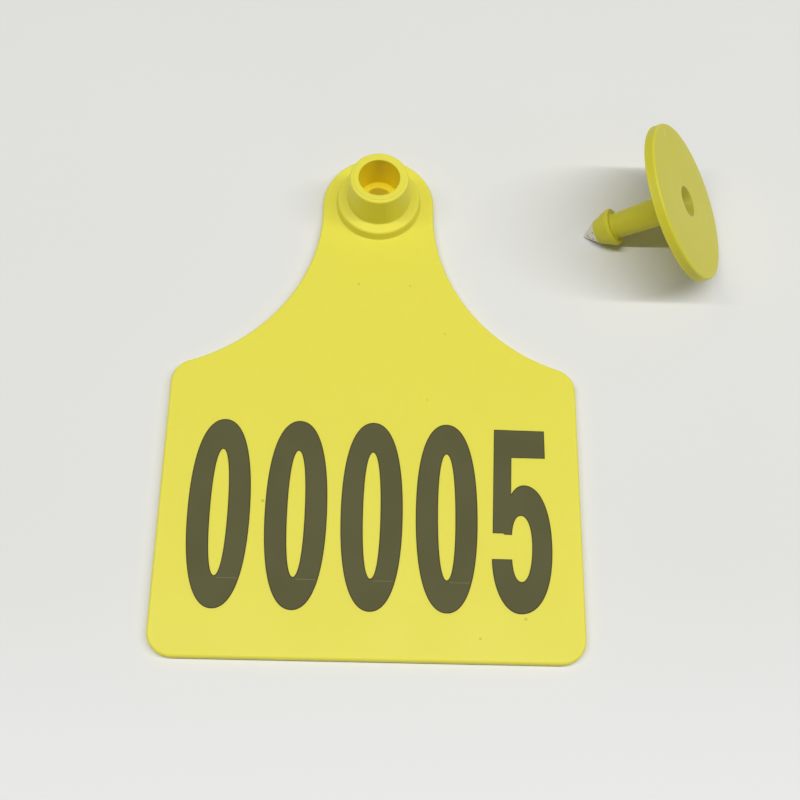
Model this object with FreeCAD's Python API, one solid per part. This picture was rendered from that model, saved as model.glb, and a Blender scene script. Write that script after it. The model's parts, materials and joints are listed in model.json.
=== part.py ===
"""Livestock ear tag: a flat number panel with a conical locking collar, and a loose button stud.

Millimetres, +Z up. The origin is on the collar's axis, at the back of the panel, which lies on Z = 0.
The panel hangs down along -Y. The stud lies beside it on the rim of its button and on its head.
"""

import FreeCAD, Part
import math
import os

# Button stud, measured along its axis from the outer face of the button
button_radius = 15.35
button_thickness = 1.9
button_bevel = 0.35
button_rim_land = 1.2
button_underside_rise = 0.3
stem_neck_radius = 2.4
stem_root_radius = 2.95
stem_root_flare = 0.7
barb_reach = 15.2
barb_radius = 3.6
barb_lip = 0.6
barb_hook = 0.2
barb_bevel = 0.2
head_cone_length = 2.95
head_end_radius = 2.35

# Hole for the applicator's pin, open at the face of the button
pin_bore_radius = 1.5
pin_funnel_radius = 3.0
pin_funnel_depth = 1.5
pin_bore_web = 1.0

# Metal tip, held by a grooved shank inside the head
tip_length = 3.05
tip_point_radius = 0.2
shank_radius = 1.3
shank_length = 3.4
shank_groove_radius = 0.85
shank_groove_width = 1.1
shank_head_length = 1.0

# Locking socket: the head passes the stem hole and its barb catches on the ledge
stem_clearance = 0.25
chamber_clearance = 0.33
tip_clearance = 1.1
socket_floor = 3.45
ledge_bevel = 0.25

# Collar and the step that it stands on
collar_rim_wall = 1.7
collar_flare = 0.4
collar_foot_bevel = 0.3
rim_inner_bevel = 0.25
rim_land_width = 1.05
rim_bead_drop = 0.12
rim_bead_round = 0.4
step_width = 2.2
step_height = 2.15
step_draft = 0.25
step_top_fall = 0.15
step_round = 0.5
step_foot_bevel = 0.15

# Number panel
panel_width = 75.0
panel_drop = 89.8
panel_thickness = 1.8
panel_edge_bevel = 0.4
panel_corner_radius = 4.5
lobe_margin = 2.7
lobe_drop = 0.25
neck_length = 2.05
flare_radius = 34.5

# Where the stud lies: the centre of its button's face, and the way its tip points, turned from -X
stud_x = 58.45
stud_y = -4.5
stud_turn_deg = 2.0

# Sizes that follow from the ones above
stem_hole_radius = stem_neck_radius + stem_clearance
chamber_radius = barb_radius + chamber_clearance
head_length = barb_lip + head_cone_length + tip_length
chamber_depth = head_length + tip_clearance
collar_top = socket_floor + chamber_depth
rim_radius = chamber_radius + collar_rim_wall
collar_foot_radius = rim_radius + collar_flare
step_radius = collar_foot_radius + step_width
lobe_radius = step_radius + lobe_margin
half_width = panel_width / 2
head_end = barb_reach + barb_lip + head_cone_length
tip_end = head_end + tip_length
pin_bore_depth = head_end - shank_length - pin_bore_web

AXIS = FreeCAD.Vector(0, 0, 1)
ORIGIN = FreeCAD.Vector(0, 0, 0)


def finished_corner(last, here, following, finish, size):
    """Start, end and edge of a finished corner: an arc tangent to both runs, or a straight bevel."""
    to_last = (last - here).normalize()
    to_next = (following - here).normalize()
    if finish == "bevel":
        start = here + to_last * size
        end = here + to_next * size
        return start, end, Part.makeLine(start, end)
    half_angle = to_last.getAngle(to_next) / 2
    start = here + to_last * (size / math.tan(half_angle))
    end = here + to_next * (size / math.tan(half_angle))
    middle = here + (to_last + to_next).normalize() * (size / math.sin(half_angle) - size)
    return start, end, Part.Arc(start, middle, end).toShape()


def section_edges(corners):
    """Closed section in the XZ plane from corners (r, z), or (r, z, finish, size) where one is finished."""
    points = [FreeCAD.Vector(corner[0], 0, corner[1]) for corner in corners]
    edges = []
    runs = []
    for i, corner in enumerate(corners):
        start = end = points[i]
        if len(corner) > 2:
            following = points[(i + 1) % len(points)]
            start, end, edge = finished_corner(points[i - 1], points[i], following, corner[2], corner[3])
            edges.append(edge)
        runs.append((start, end))
    for i, (start, end) in enumerate(runs):
        edges.append(Part.makeLine(end, runs[(i + 1) % len(runs)][0]))
    return edges


def turned(corners):
    """Solid made by turning a closed section once round the Z axis."""
    wire = Part.Wire(Part.__sortEdges__(section_edges(corners)))
    return Part.Face(wire).revolve(ORIGIN, AXIS, 360)


def arc(centre_x, centre_y, radius, start_deg, end_deg):
    """Arc in the XY plane, anticlockwise from one angle to the other."""
    circle = Part.Circle(FreeCAD.Vector(centre_x, centre_y, 0), AXIS, radius)
    return Part.Arc(circle, math.radians(start_deg), math.radians(end_deg)).toShape()


def half_outline():
    """Right half of the panel's outline from the top of the lobe to the middle of the bottom edge."""
    flare_x = lobe_radius + flare_radius
    flare_y = -lobe_drop - neck_length
    corner_x = half_width - panel_corner_radius
    reach = flare_radius + panel_corner_radius
    shoulder_y = flare_y - math.sqrt(reach ** 2 - (flare_x - corner_x) ** 2)
    meet_deg = math.degrees(math.atan2(shoulder_y - flare_y, corner_x - flare_x)) % 360
    bottom_y = -panel_drop
    foot_y = bottom_y + panel_corner_radius
    return [
        arc(0, -lobe_drop, lobe_radius, 0, 90),
        Part.makeLine((lobe_radius, -lobe_drop, 0), (lobe_radius, flare_y, 0)),
        arc(flare_x, flare_y, flare_radius, 180, meet_deg),
        arc(corner_x, shoulder_y, panel_corner_radius, 0, meet_deg - 180),
        Part.makeLine((half_width, shoulder_y, 0), (half_width, foot_y, 0)),
        arc(corner_x, foot_y, panel_corner_radius, 270, 360),
        Part.makeLine((corner_x, bottom_y, 0), (0, bottom_y, 0)),
    ]


def flat_panel():
    """The panel itself, with both rims of its edge bevelled."""
    right = half_outline()
    left = [edge.mirror(ORIGIN, FreeCAD.Vector(1, 0, 0)) for edge in right]
    wire = Part.Wire(Part.__sortEdges__(right + left))
    slab = Part.Face(wire).extrude(AXIS * panel_thickness)
    rims = [edge for edge in slab.Edges if edge.BoundBox.ZLength < panel_thickness / 2]
    return slab.makeChamfer(min(panel_edge_bevel, 0.4 * panel_thickness), rims)


def collar_body():
    """Step and conical collar in one turned solid, rooted halfway down in the panel."""
    root = panel_thickness / 2
    step_top = panel_thickness + step_height
    bead_top = collar_top - rim_bead_drop
    land_radius = chamber_radius + rim_land_width
    return turned([
        (0, root),
        (step_radius + step_foot_bevel, root),
        (step_radius + step_foot_bevel, panel_thickness),
        (step_radius, panel_thickness + step_foot_bevel),
        (step_radius - step_draft, step_top - step_top_fall, "round", step_round),
        (collar_foot_radius, step_top, "bevel", collar_foot_bevel),
        (rim_radius, bead_top, "round", rim_bead_round),
        (land_radius, bead_top),
        (land_radius, collar_top),
        (0, collar_top),
    ])


def socket_space():
    """What is bored out: the stem hole, the ledge and the chamber for the head."""
    above = collar_top + rim_inner_bevel
    return turned([
        (0, -panel_thickness),
        (stem_hole_radius, -panel_thickness),
        (stem_hole_radius, socket_floor, "bevel", ledge_bevel),
        (chamber_radius, socket_floor),
        (chamber_radius, collar_top - rim_inner_bevel),
        (chamber_radius + rim_inner_bevel, collar_top),
        (chamber_radius + rim_inner_bevel, above),
        (0, above),
    ])


def tag_panel():
    return flat_panel().fuse(collar_body()).removeSplitter().cut(socket_space())


def metal_tip():
    """Cone with a blunted point, and the grooved shank behind it, along +Z from the button's face."""
    shank_start = head_end - shank_length
    groove_start = shank_start + shank_head_length
    groove_end = groove_start + shank_groove_width
    return turned([
        (0, shank_start),
        (shank_radius, shank_start),
        (shank_radius, groove_start),
        (shank_groove_radius, groove_start),
        (shank_groove_radius, groove_end),
        (shank_radius, groove_end),
        (shank_radius, head_end),
        (head_end_radius, head_end),
        (tip_point_radius, tip_end - tip_point_radius / 2),
        (0, tip_end),
    ])


def stud_body():
    """Button, tapered stem and barbed head, along +Z from the button's face."""
    return turned([
        (0, 0),
        (button_radius, 0, "bevel", button_bevel),
        (button_radius, button_thickness, "bevel", button_bevel),
        (button_radius - button_rim_land, button_thickness),
        (stem_root_radius, button_thickness + button_underside_rise, "bevel", stem_root_flare),
        (stem_neck_radius, barb_reach),
        (barb_radius, barb_reach - barb_hook, "bevel", barb_bevel),
        (barb_radius, barb_reach + barb_lip),
        (head_end_radius, head_end),
        (0, head_end),
    ])


def pin_space():
    """Hollow of the stud: the funnel and the bore for the pin."""
    return turned([
        (0, -button_thickness),
        (pin_funnel_radius, -button_thickness),
        (pin_funnel_radius, 0),
        (pin_bore_radius, pin_funnel_depth),
        (pin_bore_radius, pin_bore_depth),
        (0, pin_bore_depth),
    ])


def button_stud():
    return stud_body().cut(pin_space()).cut(metal_tip())


def contact_lean(reach, radius):
    """Lean of the stem at which this circle of the head and the button's rim lie on one plane."""
    return math.atan2(button_radius - radius, reach - (button_thickness - button_bevel))


def lying_placement():
    """Lays the stud down: its rim and the first circle of its head to touch are both on Z = 0."""
    head_circles = [
        (barb_reach + barb_lip, barb_radius),
        (head_end, head_end_radius),
        (tip_end - tip_point_radius / 2, tip_point_radius),
    ]
    lean = min(contact_lean(*circle) for circle in head_circles)
    rim_reach = button_thickness - button_bevel
    height = rim_reach * math.sin(lean) + button_radius * math.cos(lean)
    across = FreeCAD.Rotation(FreeCAD.Vector(0, 1, 0), -90 - math.degrees(lean))
    turn = FreeCAD.Rotation(AXIS, stud_turn_deg)
    return FreeCAD.Placement(FreeCAD.Vector(stud_x, stud_y, height), turn * across)


def laid(shape):
    shape.Placement = lying_placement()
    return shape


pieces = {
    "tag_panel": tag_panel(),
    "button_stud": laid(button_stud()),
    "metal_tip": laid(metal_tip()),
}
os.makedirs("parts", exist_ok=True)
for node, shape in pieces.items():
    solid = shape.Solids[0]
    solid.exportStep(f"parts/{node}.step")
    box = solid.BoundBox
    print(node, len(shape.Solids), "solid", shape.isValid(), round(solid.Volume, 2), "mm3")
    print("   x", round(box.XMin, 2), round(box.XMax, 2), "y", round(box.YMin, 2), round(box.YMax, 2),
          "z", round(box.ZMin, 3), round(box.ZMax, 2))
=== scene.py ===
"""Livestock ear tag: the number panel with its locking collar, and the loose button stud.

Metres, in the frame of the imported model: +Z up, the collar's axis on the Z axis, the panel's back on Z = 0.
Sizes are written in millimetres and multiplied by MM.
"""

import json
import math

import bmesh
import bpy
from mathutils import Matrix, Vector


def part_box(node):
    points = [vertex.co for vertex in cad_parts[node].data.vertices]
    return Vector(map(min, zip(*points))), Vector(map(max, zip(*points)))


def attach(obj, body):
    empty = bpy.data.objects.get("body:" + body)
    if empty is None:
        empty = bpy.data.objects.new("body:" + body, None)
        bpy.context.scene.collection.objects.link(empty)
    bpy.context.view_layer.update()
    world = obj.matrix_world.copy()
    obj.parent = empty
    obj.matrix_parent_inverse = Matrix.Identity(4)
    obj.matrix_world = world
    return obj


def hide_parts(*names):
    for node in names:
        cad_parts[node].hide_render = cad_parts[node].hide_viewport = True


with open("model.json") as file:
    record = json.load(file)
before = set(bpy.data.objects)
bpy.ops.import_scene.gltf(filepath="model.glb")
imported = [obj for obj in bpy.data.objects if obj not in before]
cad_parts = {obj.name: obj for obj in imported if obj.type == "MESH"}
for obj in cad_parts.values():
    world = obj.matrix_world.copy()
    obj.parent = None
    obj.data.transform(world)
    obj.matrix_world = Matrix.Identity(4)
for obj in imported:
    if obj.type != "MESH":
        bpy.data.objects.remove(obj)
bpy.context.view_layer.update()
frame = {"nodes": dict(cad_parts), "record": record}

MM = 0.001

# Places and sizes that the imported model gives
mounts = {mount["name"]: mount for mount in frame["record"]["mounts"]}
panel_low, panel_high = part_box("tag_panel")
half_width = panel_high.x
hole_radius = mounts["stem_hole"]["dims"]["r_mm"]
chamber_radius = mounts["locking_chamber"]["dims"]["r_mm"]
pin_bore_radius = mounts["pin_bore"]["dims"]["r_mm"]
collar_top = panel_high.z / MM

# Number panel, in millimetres
panel_thickness = 1.8
panel_edge_round = 0.5
panel_corner_radius = 4.5
lobe_drop = 0.25
neck_length = 2.05
flare_radius = 34.5

# Collar and the step that it stands on
socket_floor = 3.45
collar_rim_wall = 1.7
collar_flare = 0.4
rim_land_width = 1.05
rim_bead_drop = 0.12
step_width = 2.2
step_height = 2.15
step_draft = 0.25
step_top_fall = 0.15

# Button stud, along its axis from the outer face of the button
button_radius = 15.35
button_thickness = 1.9
button_rim_land = 1.2
button_underside_rise = 0.3
pin_funnel_radius = 3.0
pin_funnel_depth = 1.5
pin_bore_depth = 14.35
stem_root_radius = 2.95
stem_neck_radius = 2.4
barb_reach = 15.2
barb_radius = 3.6
barb_lip = 0.6
barb_hook = 0.2
head_end = 18.75
head_end_radius = 2.35

# Printed number
number_centre_y = -64.13
zero_centres = (-26.8, -13.2, 0.2, 13.5)
zero_half_width = 5.4
zero_half_height = 17.3
counter_half_width = 1.64
counter_half_height = 11.7
ink_thickness = 0.03
burnt_edge_width = 0.2

ROUND_STEPS = 192
ARC_STEPS = 6


# ---------------------------------------------------------------- mesh helpers

def rounded_wire(bm, corners):
    """Wire in the XZ plane through corners (radius, height, rounding), in millimetres, with arcs at them."""
    points = [bm.verts.new((radius * MM, 0, height * MM)) for radius, height, rounding in corners]
    for start, end in zip(points, points[1:]):
        bm.edges.new((start, end))
    places = [point.co.copy() for point in points]
    for i, (radius, height, rounding) in enumerate(corners):
        if rounding == 0:
            continue
        before = (places[i - 1] - places[i]).normalized()
        after = (places[i + 1] - places[i]).normalized()
        setback = rounding * MM / math.tan(before.angle(after) / 2)
        bmesh.ops.bevel(
            bm, geom=[points[i]], offset=setback, segments=ARC_STEPS, affect="VERTICES",
            profile=0.5, material=-1,
        )


def turn_round(bm):
    """Turns the wire once round the Z axis into a closed skin."""
    bmesh.ops.spin(
        bm, geom=bm.verts[:] + bm.edges[:], cent=(0, 0, 0), axis=(0, 0, 1),
        angle=math.tau, steps=ROUND_STEPS, use_merge=True,
    )
    bmesh.ops.remove_doubles(bm, verts=bm.verts[:], dist=0.002 * MM)


def finished_piece(name, bm, material, replaced=(), sharp_deg=35):
    """Makes the mesh a smooth-shaded piece of the object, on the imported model's body."""
    bmesh.ops.recalc_face_normals(bm, faces=bm.faces[:])
    mesh = bpy.data.meshes.new(name)
    bm.to_mesh(mesh)
    bm.free()
    mesh.materials.append(material)
    mesh.shade_smooth()
    mesh.set_sharp_from_angle(angle=math.radians(sharp_deg))
    piece = bpy.data.objects.new(name, mesh)
    bpy.context.scene.collection.objects.link(piece)
    weights = piece.modifiers.new("even shading", "WEIGHTED_NORMAL")
    weights.keep_sharp = True
    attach(piece, "root")
    if replaced:
        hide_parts(*replaced)
    return piece


def paint_hollow_light_and_shade(piece, material, is_inside):
    """Gives the faces whose middle lies inside a hollow a second material, whose colour paints in the
    hollow's light and shade.
    """
    piece.data.materials.append(material)
    for face in piece.data.polygons:
        if is_inside(face.center):
            face.material_index = 1


# ---------------------------------------------------------------- node helpers

def add_node(tree, kind, inputs=None, **settings):
    """New shader node with its settings and inputs; an input is a value or another node's output."""
    made = tree.nodes.new(kind)
    for key, value in settings.items():
        setattr(made, key, value)
    for key, value in (inputs or {}).items():
        if isinstance(value, bpy.types.NodeSocket):
            tree.links.new(value, made.inputs[key])
        else:
            made.inputs[key].default_value = value
    return made


def maths(tree, operation, first, second=0.0, third=0.0, clamp=False):
    inputs = {0: first, 1: second, 2: third}
    return add_node(tree, "ShaderNodeMath", inputs, operation=operation, use_clamp=clamp).outputs[0]


def mixed_colour(tree, factor, first, second):
    made = add_node(tree, "ShaderNodeMix", {0: factor, 6: first, 7: second}, data_type="RGBA")
    return made.outputs[2]


def ramp(tree, value, low, high, to_low=0.0, to_high=1.0, smooth=True):
    """Value mapped from one range to another, held at both ends."""
    inputs = {"Value": value, "From Min": low, "From Max": high, "To Min": to_low, "To Max": to_high}
    kind = "SMOOTHSTEP" if smooth else "LINEAR"
    return add_node(tree, "ShaderNodeMapRange", inputs, interpolation_type=kind).outputs["Result"]


def new_group(name, inputs, outputs):
    """Empty shader node group with float or vector inputs and float outputs."""
    tree = bpy.data.node_groups.new(name, "ShaderNodeTree")
    for socket, value in inputs.items():
        kind = "NodeSocketVector" if value is None else "NodeSocketFloat"
        made = tree.interface.new_socket(socket, in_out="INPUT", socket_type=kind)
        if value is not None:
            made.default_value = value
    for socket in outputs:
        tree.interface.new_socket(socket, in_out="OUTPUT", socket_type="NodeSocketFloat")
    return tree, tree.nodes.new("NodeGroupInput"), tree.nodes.new("NodeGroupOutput")


def moulded_grain_group():
    """Fine satin grain of the mould and slow unevenness of the moulding, as a height and a cloudy mask."""
    tree, given, result = new_group(
        "moulded grain", {"Vector": None, "Grain size": 4000.0, "Wave size": 60.0}, ("Height", "Cloud"))
    vector = given.outputs["Vector"]
    grain = add_node(tree, "ShaderNodeTexNoise", {
        "Vector": vector, "Scale": given.outputs["Grain size"], "Detail": 3.0, "Roughness": 0.6})
    waves = add_node(tree, "ShaderNodeTexNoise", {
        "Vector": vector, "Scale": given.outputs["Wave size"], "Detail": 2.0, "Roughness": 0.5})
    height = maths(tree, "MULTIPLY_ADD", waves.outputs[0], 6.0, grain.outputs[0])
    tree.links.new(height, result.inputs["Height"])
    tree.links.new(ramp(tree, waves.outputs[0], 0.3, 0.7), result.inputs["Cloud"])
    return tree


def specks_group():
    """Scattered tiny specks: a mask that is 1 in the middle of a few cells."""
    tree, given, result = new_group(
        "specks", {"Vector": None, "Cells": 300.0, "Share": 0.05, "Size": 0.1}, ("Mask",))
    cells = add_node(tree, "ShaderNodeTexVoronoi", {
        "Vector": given.outputs["Vector"], "Scale": given.outputs["Cells"], "Randomness": 1.0})
    drawn = add_node(tree, "ShaderNodeSeparateColor", {"Color": cells.outputs["Color"]})
    chosen = maths(tree, "LESS_THAN", drawn.outputs[0], given.outputs["Share"])
    size = maths(tree, "MULTIPLY", drawn.outputs[1], given.outputs["Size"])
    close = maths(tree, "LESS_THAN", cells.outputs["Distance"], size)
    tree.links.new(maths(tree, "MULTIPLY", chosen, close), result.inputs["Mask"])
    return tree


def scratches_group():
    """Hair-thin marks in one direction: stretched noise, cut to its crests."""
    tree, given, result = new_group(
        "hair scratches", {"Vector": None, "Turn": 0.5, "Cells": 500.0, "Rarity": 0.72}, ("Mask",))
    turned = add_node(tree, "ShaderNodeVectorRotate", {
        "Vector": given.outputs["Vector"], "Angle": given.outputs["Turn"]}, rotation_type="Z_AXIS")
    stretched = add_node(tree, "ShaderNodeVectorMath", {
        0: turned.outputs[0], 1: (1.0, 0.035, 1.0)}, operation="MULTIPLY")
    lines = add_node(tree, "ShaderNodeTexNoise", {
        "Vector": stretched.outputs[0], "Scale": given.outputs["Cells"], "Detail": 0.0})
    crest = maths(tree, "SUBTRACT", lines.outputs[0], given.outputs["Rarity"])
    mask = maths(tree, "MULTIPLY", crest, 30.0, clamp=True)
    tree.links.new(mask, result.inputs["Mask"])
    return tree


moulded_grain = moulded_grain_group()
specks = specks_group()
hair_scratches = scratches_group()


def group_in(tree, group, **inputs):
    made = tree.nodes.new("ShaderNodeGroup")
    made.node_tree = group
    for key, value in inputs.items():
        socket = made.inputs[key.replace("_", " ")]
        if isinstance(value, bpy.types.NodeSocket):
            tree.links.new(value, socket)
        else:
            socket.default_value = value
    return made


def new_material(name):
    """Material with its node tree, its Principled shader and the object's coordinates."""
    material = bpy.data.materials.new(name)
    material.use_nodes = True
    tree = material.node_tree
    shader = tree.nodes["Principled BSDF"]
    place = tree.nodes.new("ShaderNodeTexCoord").outputs["Object"]
    return material, tree, shader, place


def bumped(tree, height, distance, strength=1.0):
    return add_node(tree, "ShaderNodeBump", {
        "Height": height, "Distance": distance, "Strength": strength}).outputs["Normal"]


# ---------------------------------------------------------------- materials

def mark_mask(tree, place, x, y, radius):
    """A small round mark at a place on the panel, soft at its rim."""
    offset = add_node(tree, "ShaderNodeVectorMath", {
        0: place, 1: (x * MM, y * MM, panel_thickness * MM)}, operation="DISTANCE")
    return ramp(tree, offset.outputs["Value"], 0.4 * radius * MM, radius * MM, 1.0, 0.0)


def soft_tpu(name, colour, deep_colour, marks=()):
    """Yellow thermoplastic: satin, a little see-through, with grain, clouds, dust and hair scratches."""
    material, tree, shader, place = new_material(name)
    grain = group_in(tree, moulded_grain, Vector=place, Grain_size=3500.0, Wave_size=70.0)
    dust = group_in(tree, specks, Vector=place, Cells=260.0, Share=0.05, Size=0.12)
    scratches = group_in(tree, hair_scratches, Vector=place, Turn=0.6, Cells=420.0, Rarity=0.8)
    body = mixed_colour(tree, maths(tree, "MULTIPLY", grain.outputs["Cloud"], 0.25), colour, deep_colour)
    dark = maths(tree, "MULTIPLY", dust.outputs["Mask"], 0.35)
    for x, y, radius, weight in marks:
        dark = maths(tree, "MAXIMUM", dark, maths(
            tree, "MULTIPLY", mark_mask(tree, place, x, y, radius), weight))
    body = mixed_colour(tree, dark, body, (0.25, 0.16, 0.03, 1))
    body = mixed_colour(tree, maths(
        tree, "MULTIPLY", scratches.outputs["Mask"], 0.12), body, (0.9, 0.88, 0.4, 1))
    tree.links.new(body, shader.inputs["Base Color"])
    rough = ramp(tree, grain.outputs["Height"], 2.0, 5.0, 0.40, 0.50, smooth=False)
    tree.links.new(rough, shader.inputs["Roughness"])
    tree.links.new(bumped(tree, grain.outputs["Height"], 0.00001, 0.35), shader.inputs["Normal"])
    shader.inputs["Subsurface Weight"].default_value = 0.35
    shader.inputs["Subsurface Radius"].default_value = (1.0, 0.82, 0.1)
    shader.inputs["Subsurface Scale"].default_value = 1.2 * MM
    shader.inputs["IOR"].default_value = 1.5
    shader.inputs["Specular IOR Level"].default_value = 0.32
    return material


def burnt_ink(name, colour, pale_colour):
    """Number burnt into the face: a dull olive fill laid down in fine level lines."""
    material, tree, shader, place = new_material(name)
    lines = add_node(tree, "ShaderNodeTexWave", {
        "Vector": place, "Scale": 1500.0, "Distortion": 0.3, "Detail": 1.0},
        wave_type="BANDS", bands_direction="Y")
    grain = group_in(tree, moulded_grain, Vector=place, Grain_size=5000.0, Wave_size=90.0)
    faint = maths(tree, "MULTIPLY_ADD", lines.outputs["Fac"], 0.12,
                  maths(tree, "MULTIPLY", grain.outputs["Cloud"], 0.3))
    tree.links.new(mixed_colour(tree, faint, colour, pale_colour), shader.inputs["Base Color"])
    tree.links.new(ramp(tree, lines.outputs["Fac"], 0.0, 1.0, 0.6, 0.72), shader.inputs["Roughness"])
    tree.links.new(bumped(tree, lines.outputs["Fac"], 0.00001, 0.4), shader.inputs["Normal"])
    shader.inputs["Specular IOR Level"].default_value = 0.2
    return material


def dull_metal(name):
    """Cast metal tip: pale, dull, with brown tarnish in patches."""
    material, tree, shader, place = new_material(name)
    patches = add_node(tree, "ShaderNodeTexNoise", {
        "Vector": place, "Scale": 900.0, "Detail": 4.0, "Roughness": 0.65})
    tarnish = ramp(tree, patches.outputs[0], 0.56, 0.66)
    colour = mixed_colour(tree, tarnish, (0.72, 0.69, 0.6, 1), (0.12, 0.09, 0.05, 1))
    tree.links.new(colour, shader.inputs["Base Color"])
    tree.links.new(maths(tree, "SUBTRACT", 0.9, maths(
        tree, "MULTIPLY", tarnish, 0.6)), shader.inputs["Metallic"])
    tree.links.new(ramp(tree, patches.outputs[0], 0.3, 0.7, 0.34, 0.55), shader.inputs["Roughness"])
    tree.links.new(bumped(tree, patches.outputs[0], 0.00005, 0.5), shader.inputs["Normal"])
    return material


def pale_paper():
    """Matt pale floor, a little lighter towards the near side: painted light, standing in for the lamp
    lighting the near floor more.
    """
    material, tree, shader, place = new_material("pale floor")
    along = add_node(tree, "ShaderNodeSeparateXYZ", {"Vector": place}).outputs["Y"]
    # Painted light: the floor's colour lightens towards the near side
    near = ramp(tree, along, -0.125, -0.065, 1.0, 0.0)
    clouds = add_node(tree, "ShaderNodeTexNoise", {"Vector": place, "Scale": 14.0, "Detail": 2.0})
    far_colour = mixed_colour(tree, clouds.outputs[0], (0.775, 0.775, 0.748, 1), (0.795, 0.795, 0.778, 1))
    tree.links.new(mixed_colour(tree, near, far_colour, (0.86, 0.862, 0.848, 1)), shader.inputs["Base Color"])
    shader.inputs["Roughness"].default_value = 0.9
    shader.inputs["Specular IOR Level"].default_value = 0.15
    return material


# ---------------------------------------------------------------- number panel

def panel_half_wire(bm):
    """Right half of the panel's outline: lobe, neck, flare, shoulder, side and bottom corner."""
    lobe_radius = panel_high.y + lobe_drop * MM
    lobe_y = -lobe_drop * MM
    flare_x = lobe_radius + flare_radius * MM
    flare_y = lobe_y - neck_length * MM
    corner = panel_corner_radius * MM
    corner_x = half_width - corner
    reach = flare_radius * MM + corner
    shoulder_y = flare_y - math.sqrt(reach ** 2 - (flare_x - corner_x) ** 2)
    flare_sweep = math.atan2(flare_y - shoulder_y, flare_x - corner_x)

    def arc_on(vert, x, y, angle, steps):
        made = bmesh.ops.spin(
            bm, geom=[vert], cent=(x, y, 0), axis=(0, 0, 1), angle=angle, steps=steps)
        return [item for item in made["geom_last"] if isinstance(item, bmesh.types.BMVert)][0]

    def line_to(vert, x, y):
        made = bmesh.ops.extrude_vert_indiv(bm, verts=[vert])["verts"][0]
        made.co = (x, y, 0)
        return made

    end = bm.verts.new((0, lobe_y + lobe_radius, 0))
    end = arc_on(end, 0, lobe_y, -math.pi / 2, 40)
    end = line_to(end, lobe_radius, flare_y)
    end = arc_on(end, flare_x, flare_y, flare_sweep, 48)
    end = arc_on(end, corner_x, shoulder_y, -flare_sweep, 20)
    end = line_to(end, half_width, panel_low.y + corner)
    end = arc_on(end, corner_x, panel_low.y + corner, -math.pi / 2, 20)
    line_to(end, 0, panel_low.y)


def flat_rings(bm, height):
    """Open edges at one height, which bound a flat face with a round hole."""
    return [edge for edge in bm.edges if edge.is_boundary and all(
        abs(vert.co.z - height) < 0.001 * MM for vert in edge.verts)]


def panel_slab(bm):
    """Slab with its rim rounded and its two flat faces left open."""
    panel_half_wire(bm)
    bmesh.ops.mirror(
        bm, geom=bm.verts[:] + bm.edges[:], matrix=Matrix.Identity(4), merge_dist=0.01 * MM, axis="X")
    bmesh.ops.remove_doubles(bm, verts=bm.verts[:], dist=0.01 * MM)
    bmesh.ops.contextual_create(bm, geom=bm.edges[:])
    risen = bmesh.ops.extrude_face_region(bm, geom=bm.faces[:])["geom"]
    risen_verts = [item for item in risen if isinstance(item, bmesh.types.BMVert)]
    bmesh.ops.translate(bm, vec=(0, 0, panel_thickness * MM), verts=risen_verts)
    rims = [edge for edge in bm.edges if edge.verts[0].co.z == edge.verts[1].co.z]
    bmesh.ops.bevel(
        bm, geom=rims, offset=panel_edge_round * MM, segments=ARC_STEPS, affect="EDGES",
        profile=0.5, material=-1)
    flats = [face for face in bm.faces if len(face.verts) > 20]
    bmesh.ops.delete(bm, geom=flats, context="FACES_ONLY")


def collar_corners():
    """Section of the step, collar, chamber, ledge and stem hole, from the panel's face to its back."""
    rim_radius = chamber_radius + collar_rim_wall
    foot_radius = rim_radius + collar_flare
    step_radius = foot_radius + step_width
    step_top = panel_thickness + step_height
    bead_top = collar_top - rim_bead_drop
    land_radius = chamber_radius + rim_land_width
    return (
        (step_radius + 0.6, panel_thickness, 0),
        (step_radius + 0.02, panel_thickness, 0.25),
        (step_radius - step_draft, step_top - step_top_fall, 0.5),
        (foot_radius, step_top, 0.3),
        (rim_radius, bead_top, 0.4),
        (land_radius + 0.05, bead_top, 0),
        (land_radius, collar_top, 0.08),
        (chamber_radius, collar_top, 0.2),
        (chamber_radius, socket_floor, 0.2),
        (hole_radius, socket_floor, 0.3),
        (hole_radius, 0, 0),
    )


def number_panel(material, chamber_painted_light_material):
    bm = bmesh.new()
    panel_slab(bm)
    collar = bmesh.new()
    rounded_wire(collar, collar_corners())
    turn_round(collar)
    collar_mesh = bpy.data.meshes.new("collar")
    collar.to_mesh(collar_mesh)
    collar.free()
    bm.from_mesh(collar_mesh)
    bpy.data.meshes.remove(collar_mesh)
    for height in (0, panel_thickness * MM):
        bmesh.ops.triangle_fill(bm, edges=flat_rings(bm, height), use_beauty=True)
    piece = finished_piece("number_panel", bm, material, ["tag_panel"])
    rim_skip = 0.25
    wall_slack = 1.003
    inner_radius = chamber_radius * MM * wall_slack
    chamber_end = (collar_top - rim_skip) * MM
    # The chamber's faces take the brighter material: painted light for the light that comes through the
    # collar's wall
    paint_hollow_light_and_shade(piece, chamber_painted_light_material, lambda middle: (
        math.hypot(middle.x, middle.y) < inner_radius and middle.z < chamber_end))
    return piece


# ---------------------------------------------------------------- button stud

def stud_axes():
    """Turns the stud's own axis, face at 0 and tip along +Z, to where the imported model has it."""
    head = mounts["stud_head"]
    towards_tip = Vector(head["axis"]).normalized()
    face_centre = Vector(head["pos_m"]) - towards_tip * barb_reach * MM
    return Matrix.Translation(face_centre) @ towards_tip.to_track_quat("Z", "Y").to_matrix().to_4x4()


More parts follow.
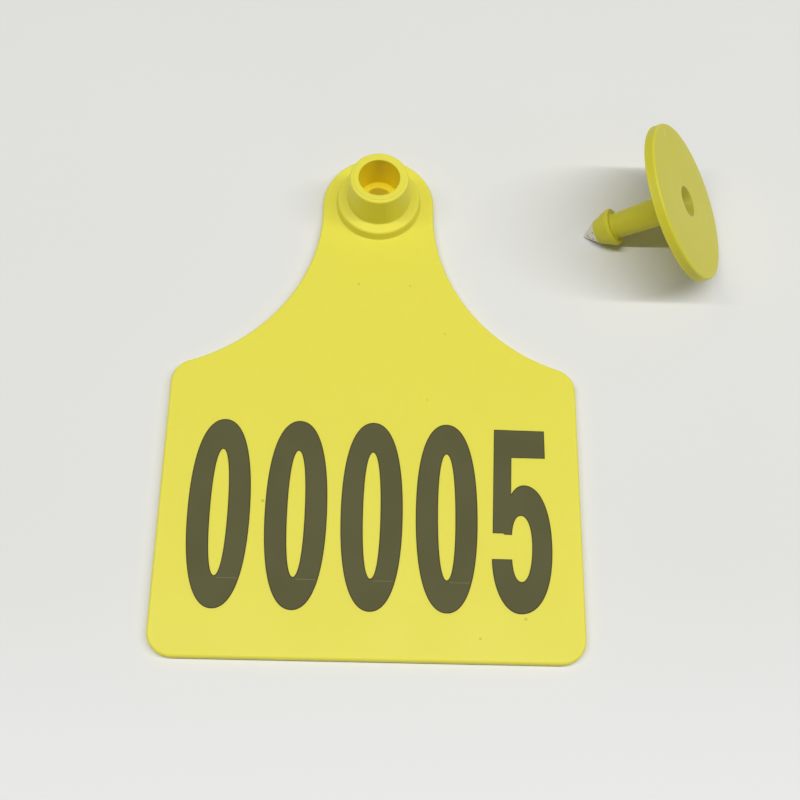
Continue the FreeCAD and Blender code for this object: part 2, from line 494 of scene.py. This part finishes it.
def stud_corners():
    """Section of the stud from the bottom of the pin bore, over the button's face, to the end of the head."""
    return (
        (0, pin_bore_depth, 0),
        (pin_bore_radius, pin_bore_depth, 0),
        (pin_bore_radius, pin_funnel_depth, 0.3),
        (pin_funnel_radius, 0, 0.5),
        (6.0, 0, 0),
        (6.15, 0.015, 0),
        (6.3, 0, 0),
        (button_radius, 0, 0.4),
        (button_radius, button_thickness - 0.3, 0),
        (button_radius + 0.08, button_thickness - 0.15, 0.03),
        (button_radius - 0.04, button_thickness, 0.05),
        (button_radius - button_rim_land, button_thickness, 0.4),
        (stem_root_radius, button_thickness + button_underside_rise, 0.9),
        (stem_neck_radius, barb_reach, 0.35),
        (barb_radius, barb_reach - barb_hook, 0.18),
        (barb_radius, barb_reach + barb_lip, 0.35),
        (head_end_radius, head_end, 0),
        (0, head_end, 0),
    )


def button_stud(material, bore_painted_shade_material):
    bm = bmesh.new()
    rounded_wire(bm, stud_corners())
    turn_round(bm)
    axes = stud_axes()
    bmesh.ops.transform(bm, matrix=axes, verts=bm.verts[:])
    piece = finished_piece("button_stud_skin", bm, material, ["button_stud"])
    into_stud = axes.inverted()
    funnel_overlap = 0.1
    bore_slack = 1.02
    face_skin = 0.01

    def in_bore_painted_shade(middle):
        place = into_stud @ middle
        in_funnel = place.z < (pin_funnel_depth + funnel_overlap) * MM
        hollow_radius = pin_funnel_radius if in_funnel else pin_bore_radius * bore_slack
        return math.hypot(place.x, place.y) < hollow_radius * MM and place.z > face_skin * MM

    # The pin hole's faces take the darker material: painted shade inside the hole and its funnel
    paint_hollow_light_and_shade(piece, bore_painted_shade_material, in_bore_painted_shade)
    return piece


# ---------------------------------------------------------------- printed number

def oval(x, y, half_width_mm, half_height_mm, fullness=0.64):
    """Closed oval as four curve points: each is (point, handle before, handle after)."""
    points = []
    for across, along in ((1, 0), (0, 1), (-1, 0), (0, -1)):
        centre = (x + across * half_width_mm, y + along * half_height_mm)
        turn = (-along * half_width_mm * fullness, across * half_height_mm * fullness)
        points.append((centre, (centre[0] - turn[0], centre[1] - turn[1]),
                       (centre[0] + turn[0], centre[1] + turn[1])))
    return points


def straight(x, y):
    return ((x, y), None, None)


def figure_five():
    """The five as curve points, clockwise from the top left; a point with no handles is a plain corner."""
    return [
        straight(22.24, -47.53),
        straight(31.28, -47.62),
        straight(31.28, -52.8),
        straight(25.2, -52.8),
        ((25.03, -60.03), None, (25.5, -59.1)),
        ((27.4, -58.13), (26.3, -58.13), (30.2, -58.13)),
        ((32.03, -69.2), (32.03, -62.5), (32.03, -76.6)),
        ((26.32, -81.28), (29.9, -81.28), (23.4, -81.28)),
        ((21.5, -71.8), (21.55, -77.0), None),
        ((24.9, -71.8), None, (24.95, -74.3)),
        ((26.6, -75.81), (25.6, -75.81), (27.8, -75.81)),
        ((28.66, -68.9), (28.66, -73.0), (28.66, -65.8)),
        ((26.73, -63.67), (27.9, -63.67), (25.6, -63.67)),
        ((24.95, -67.25), (25.1, -65.3), None),
        straight(23.7, -67.2),
        straight(23.6, -67.0),
        straight(21.69, -67.0),
    ]


def add_spline(curve, points):
    """Closed spline from (point, handle before, handle after) in millimetres."""
    spline = curve.splines.new("BEZIER")
    spline.bezier_points.add(len(points) - 1)
    for bezier, (centre, before, after) in zip(spline.bezier_points, points):
        bezier.co = (centre[0] * MM, centre[1] * MM, 0)
        bezier.handle_left_type = "VECTOR" if before is None else "FREE"
        bezier.handle_right_type = "VECTOR" if after is None else "FREE"
        if before is not None:
            bezier.handle_left = (before[0] * MM, before[1] * MM, 0)
        if after is not None:
            bezier.handle_right = (after[0] * MM, after[1] * MM, 0)
    spline.use_cyclic_u = True
    spline.resolution_u = 24


def figures():
    """Every closed line of the number: four zeros with their counters, and the five."""
    for x in zero_centres:
        yield oval(x, number_centre_y, zero_half_width, zero_half_height)
        yield oval(x, number_centre_y, counter_half_width, counter_half_height)
    yield figure_five()


def drawn_number(name, material, flat):
    """The number as a flat fill, or as a fine flattened bead along its edges."""
    curve = bpy.data.curves.new(name, "CURVE")
    for points in figures():
        add_spline(curve, points)
    if flat:
        curve.dimensions = "2D"
        curve.fill_mode = "BOTH"
        curve.extrude = ink_thickness / 2 * MM
    else:
        curve.dimensions = "3D"
        curve.bevel_depth = burnt_edge_width / 2 * MM
        curve.bevel_resolution = 2
    drawing = bpy.data.objects.new(name, curve)
    bpy.context.scene.collection.objects.link(drawing)
    bpy.context.view_layer.update()
    mesh = bpy.data.meshes.new_from_object(drawing.evaluated_get(bpy.context.evaluated_depsgraph_get()))
    bpy.data.objects.remove(drawing)
    if not flat:
        mesh.transform(Matrix.Diagonal((1, 1, 0.45, 1)))
    mesh.transform(Matrix.Translation((0, 0, (panel_thickness + ink_thickness / 4) * MM)))
    bm = bmesh.new()
    bm.from_mesh(mesh)
    bpy.data.meshes.remove(mesh)
    bmesh.ops.remove_doubles(bm, verts=bm.verts[:], dist=0.001 * MM)
    return finished_piece(name, bm, material)


def number_seams(material):
    """Thin pale lines where the fill of each zero starts and ends."""
    bm = bmesh.new()
    for x in zero_centres:
        made = bmesh.ops.create_cube(bm, size=1)["verts"]
        left, right = x + 0.5, x + 4.0
        bmesh.ops.scale(bm, vec=((right - left) * MM, 0.09 * MM, ink_thickness * MM), verts=made)
        height = panel_thickness + ink_thickness * 0.75
        bmesh.ops.translate(
            bm, vec=((left + right) / 2 * MM, (number_centre_y - 12.0) * MM, height * MM), verts=made)
    return finished_piece("number_seams", bm, material)


# ---------------------------------------------------------------- fine details of the moulding

def parting_line(material):
    """Fine raised line down the collar's wall where the two halves of the mould met."""
    rim_radius = chamber_radius + collar_rim_wall
    foot_radius = rim_radius + collar_flare
    low = panel_thickness + step_height + 0.2
    high = collar_top - 0.55
    bm = bmesh.new()
    made = bmesh.ops.create_cone(
        bm, cap_ends=True, segments=6, radius1=0.07 * MM, radius2=0.07 * MM, depth=(high - low) * MM)["verts"]
    bmesh.ops.scale(bm, vec=(1.0, 0.7, 1.0), verts=made)
    lean = math.atan2(collar_flare, collar_top - panel_thickness - step_height)
    bmesh.ops.rotate(bm, cent=(0, 0, 0), matrix=Matrix.Rotation(-lean, 3, "X"), verts=made)
    middle = (foot_radius + rim_radius) / 2 - 0.02
    bmesh.ops.translate(bm, vec=(0, -middle * MM, (low + high) / 2 * MM), verts=made)
    nib = bmesh.ops.create_icosphere(bm, subdivisions=3, radius=0.2 * MM)["verts"]
    bmesh.ops.scale(bm, vec=(0.9, 0.5, 0.6), verts=nib)
    bmesh.ops.translate(bm, vec=(0, -(rim_radius - 0.02) * MM, (collar_top - 0.45) * MM), verts=nib)
    bmesh.ops.rotate(bm, cent=(0, 0, 0), matrix=Matrix.Rotation(math.radians(12), 3, "Z"), verts=bm.verts[:])
    return finished_piece("parting_line", bm, material)


# ---------------------------------------------------------------- stage, light and camera

def floor():
    bm = bmesh.new()
    bmesh.ops.create_grid(bm, x_segments=1, y_segments=1, size=3.0)
    mesh = bpy.data.meshes.new("floor")
    bm.to_mesh(mesh)
    bm.free()
    mesh.materials.append(pale_paper())
    made = bpy.data.objects.new("floor", mesh)
    bpy.context.scene.collection.objects.link(made)


def strip_lamp():
    """Long narrow ceiling lamp over the object, level with the X axis."""
    lamp = bpy.data.lights.new("strip lamp", "AREA")
    lamp.shape = "RECTANGLE"
    lamp.size = 2.2
    lamp.size_y = 0.05
    lamp.energy = 13.6
    made = bpy.data.objects.new("strip lamp", lamp)
    made.location = (0.2, -0.06, 1.0)
    made.visible_camera = False
    bpy.context.scene.collection.objects.link(made)


def pale_room():
    """Weak even light all round, with a pale room for what is seen directly or mirrored."""
    world = bpy.data.worlds.new("pale room")
    bpy.context.scene.world = world
    world.use_nodes = True
    tree = world.node_tree
    tree.nodes.clear()
    path = tree.nodes.new("ShaderNodeLightPath")
    seen = maths(tree, "MAXIMUM", path.outputs["Is Camera Ray"], maths(
        tree, "MAXIMUM", path.outputs["Is Glossy Ray"], path.outputs["Is Transmission Ray"]))
    dim = add_node(tree, "ShaderNodeBackground", {"Color": (1.0, 0.99, 0.97, 1), "Strength": 0.14})
    pale = add_node(tree, "ShaderNodeBackground", {"Color": (0.86, 0.86, 0.85, 1), "Strength": 0.95})
    blend = add_node(tree, "ShaderNodeMixShader", {0: seen, 1: dim.outputs[0], 2: pale.outputs[0]})
    add_node(tree, "ShaderNodeOutputWorld", {"Surface": blend.outputs[0]})


def camera():
    lens = bpy.data.cameras.new("camera")
    lens.lens = 52
    lens.sensor_width = 36
    lens.clip_start = 0.01
    made = bpy.data.objects.new("camera", lens)
    made.location = (-0.64 * MM, -124.2 * MM, 198.46 * MM)
    made.rotation_euler = [math.radians(angle) for angle in (22.633, -1.962, 0.845)]
    bpy.context.scene.collection.objects.link(made)
    bpy.context.scene.camera = made


panel_marks = (
    (-3.4, -18.1, 0.35, 0.3),
    (6.5, -18.2, 0.3, 0.25),
    (13.2, -28.3, 0.3, 0.25),
    (9.9, -41.9, 0.25, 0.3),
    (27.1, -82.2, 0.4, 0.3),
)
panel_tpu = soft_tpu("panel tpu", (0.80, 0.74, 0.075, 1), (0.77, 0.71, 0.069, 1), panel_marks)
stud_tpu = soft_tpu("stud tpu", (0.64, 0.595, 0.038, 1), (0.60, 0.555, 0.034, 1))
# One plastic: the chamber's brighter colour is painted light for light coming through its wall, and the pin
# hole's darker colour is painted shade
chamber_painted_light = soft_tpu("chamber painted light", (0.95, 0.79, 0.015, 1), (0.93, 0.77, 0.012, 1))
bore_painted_shade = soft_tpu("bore painted shade", (0.40, 0.36, 0.02, 1), (0.38, 0.34, 0.018, 1))
olive_ink = burnt_ink("olive ink", (0.088, 0.084, 0.03, 1), (0.115, 0.112, 0.045, 1))
burnt_ink_edge = burnt_ink("burnt edge", (0.055, 0.036, 0.012, 1), (0.09, 0.065, 0.025, 1))
pale_ink = burnt_ink("pale ink", (0.17, 0.18, 0.08, 1), (0.2, 0.21, 0.1, 1))
tip_metal = dull_metal("tip metal")

number_panel(panel_tpu, chamber_painted_light)
button_stud(stud_tpu, bore_painted_shade)
drawn_number("number_fill", olive_ink, flat=True)
drawn_number("number_edges", burnt_ink_edge, flat=False)
number_seams(pale_ink)
parting_line(panel_tpu)
frame["nodes"]["metal_tip"].data.materials.clear()
frame["nodes"]["metal_tip"].data.materials.append(tip_metal)

floor()
strip_lamp()
pale_room()
camera()
bpy.context.scene.view_settings.view_transform = "Standard"
